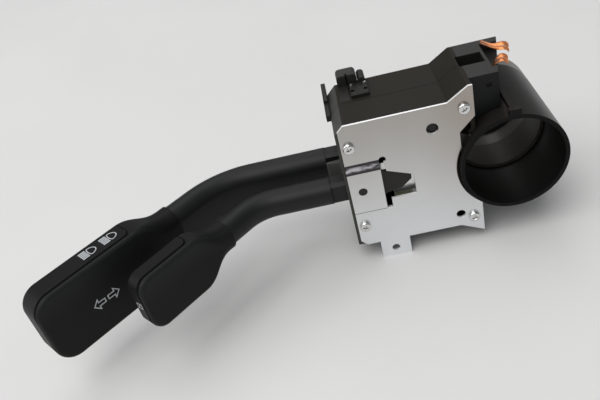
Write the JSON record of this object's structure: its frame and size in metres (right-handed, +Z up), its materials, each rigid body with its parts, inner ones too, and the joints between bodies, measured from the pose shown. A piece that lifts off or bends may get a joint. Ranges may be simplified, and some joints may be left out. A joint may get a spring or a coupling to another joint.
{
  "type": "combination stalk switch",
  "caption": "Steering-column combination switch: two bent stalks with flat paddles, a switch case behind a plated steel plate, and a round collar for the column.",
  "frame": {"origin": "on the steering column's axis, in the plane of the mounting plate's front face", "axes": "+Y along the column away from the driver, +Z up, the stalks point to -X"},
  "size_m": [0.2602, 0.1165, 0.0914],
  "materials": {
    "zinc_steel": "bright zinc plate",
    "black_nylon": "satin",
    "stalk_plastic": "fine grain",
    "sleeve_plastic": "satin",
    "copper": "bare copper alloy",
    "tinned_brass": "tinned",
    "acetal": "smooth",
    "contact_board": "phenolic board"
  },
  "bodies": {
    "housing": {"mounting_plate": "zinc_steel", "plate_screws": "zinc_steel", "front_case": "black_nylon", "rear_case": "black_nylon", "rear_cover": "black_nylon", "cover_screws": "zinc_steel", "column_collar": "black_nylon", "rear_sleeve": "sleeve_plastic", "contact_holder": "black_nylon", "horn_contact_long": "copper", "horn_contact_short": "copper", "connector_block": "black_nylon", "latch_clip": "black_nylon", "clip_pins": "zinc_steel", "side_latch": "black_nylon", "harness_socket": "black_nylon", "harness_pins": "tinned_brass", "pawl_pin": "zinc_steel", "turn_detent_plate": "acetal", "aux_detent_plate": "acetal", "turn_contact_board": "contact_board", "aux_contact_board": "contact_board"},
    "turn_carrier": {"turn_carrier": "acetal", "turn_plunger_spring": "zinc_steel"},
    "turn_stalk": {"turn_root": "stalk_plastic", "turn_tilt_pin": "zinc_steel", "turn_tube": "stalk_plastic", "turn_paddle_face": "stalk_plastic", "turn_paddle_cap": "stalk_plastic"},
    "turn_plunger": {"turn_plunger": "acetal"},
    "turn_slider": {"turn_slider": "acetal"},
    "aux_carrier": {"aux_carrier": "acetal", "aux_actuator": "acetal", "aux_plunger_spring": "zinc_steel"},
    "aux_stalk": {"aux_root": "stalk_plastic", "aux_tilt_pin": "zinc_steel", "aux_tube": "stalk_plastic", "aux_paddle_face": "stalk_plastic", "aux_paddle_cap": "stalk_plastic"},
    "aux_plunger": {"aux_plunger": "acetal"},
    "aux_slider": {"aux_slider": "acetal"},
    "cancel_pawl": {"cancel_pawl": "acetal"}
  },
  "joints": [
    {"name": "turn_swing", "type": "hinge", "parent": "housing", "child": "turn_carrier", "pos_m": [-0.068, 0.0295, 0.003], "axis": [0, 1, 0], "range_deg": [-10, 10]},
    {"name": "turn_tilt", "type": "hinge", "parent": "turn_carrier", "child": "turn_stalk", "pos_m": [-0.068, 0.0295, 0.003], "axis": [0, 0, 1], "range_deg": [-3.5, 3.5], "stiffness_Nm_per_rad": 2.5},
    {"name": "turn_plunger_slide", "type": "slide", "parent": "turn_carrier", "child": "turn_plunger", "axis": [0, 0, 1], "range_m": [0, 0.0012], "stiffness_N_per_m": 400, "springref_m": -0.002, "deforming": ["turn_plunger_spring"]},
    {"name": "turn_slider_slide", "type": "slide", "parent": "housing", "child": "turn_slider", "axis": [0, 0, 1], "range_m": [-0.0041, 0.0041]},
    {"name": "aux_swing", "type": "hinge", "parent": "housing", "child": "aux_carrier", "pos_m": [-0.0736, 0.008, 0.0006], "axis": [0, 1, 0], "range_deg": [-8, 8], "stiffness_Nm_per_rad": 2.5},
    {"name": "aux_tilt", "type": "hinge", "parent": "aux_carrier", "child": "aux_stalk", "pos_m": [-0.0736, 0.008, -0.001], "axis": [0, 0, 1], "range_deg": [-3, 3], "stiffness_Nm_per_rad": 2},
    {"name": "aux_plunger_slide", "type": "slide", "parent": "aux_carrier", "child": "aux_plunger", "axis": [0, 0, 1], "range_m": [0, 0.0012], "stiffness_N_per_m": 400, "springref_m": -0.002, "deforming": ["aux_plunger_spring"]},
    {"name": "aux_slider_slide", "type": "slide", "parent": "housing", "child": "aux_slider", "axis": [0, 0, 1], "range_m": [-0.0041, 0.0041]},
    {"name": "pawl_swing", "type": "hinge", "parent": "housing", "child": "cancel_pawl", "pos_m": [-0.0364, 0.00395, 0.0267], "axis": [0, 1, 0], "range_deg": [-6, 6], "stiffness_Nm_per_rad": 0.05}
  ],
  "couplings": [
    {"joint": "turn_slider_slide", "follows": "turn_swing", "m_per_rad": -0.0205},
    {"joint": "aux_slider_slide", "follows": "aux_swing", "m_per_rad": -0.0205}
  ]
}
